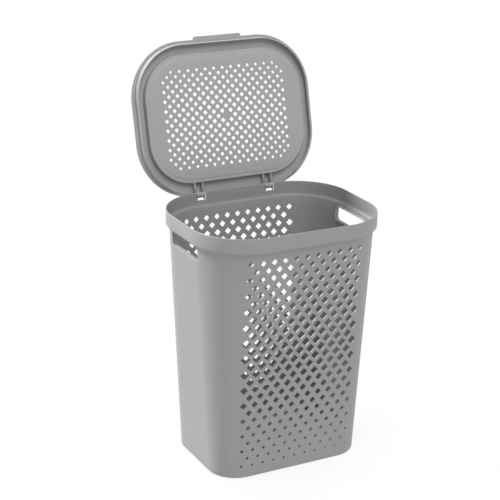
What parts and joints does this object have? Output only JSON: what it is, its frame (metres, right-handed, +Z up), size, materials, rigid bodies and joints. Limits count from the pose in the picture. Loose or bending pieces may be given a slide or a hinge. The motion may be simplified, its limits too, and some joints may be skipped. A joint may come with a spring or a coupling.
{
  "type": "laundry hamper with hinged lid",
  "caption": "Tall tapered laundry hamper of perforated plastic with a dished, perforated lid on rear hinges and a handle slot in each short side.",
  "frame": {"origin": "centre of the tub's flat underside, on the floor", "axes": "+Z up, +X across the width, -Y the front, +Y the hinge side; the lid stands open at rest"},
  "size_m": [0.4568, 0.4582, 0.9173],
  "materials": {
    "grey_plastic": "satin",
    "clip_plastic": "satin"
  },
  "bodies": {
    "tub_body": {"tub": "grey_plastic", "hinge_clip_left": "clip_plastic", "hinge_clip_right": "clip_plastic"},
    "lid_body": {"lid": "grey_plastic"}
  },
  "joints": [
    {"name": "lid_hinge", "type": "hinge", "parent": "tub_body", "child": "lid_body", "pos_m": [0, 0.1786, 0.5683], "axis": [1, 0, 0], "range_deg": [0, 104.4]}
  ]
}
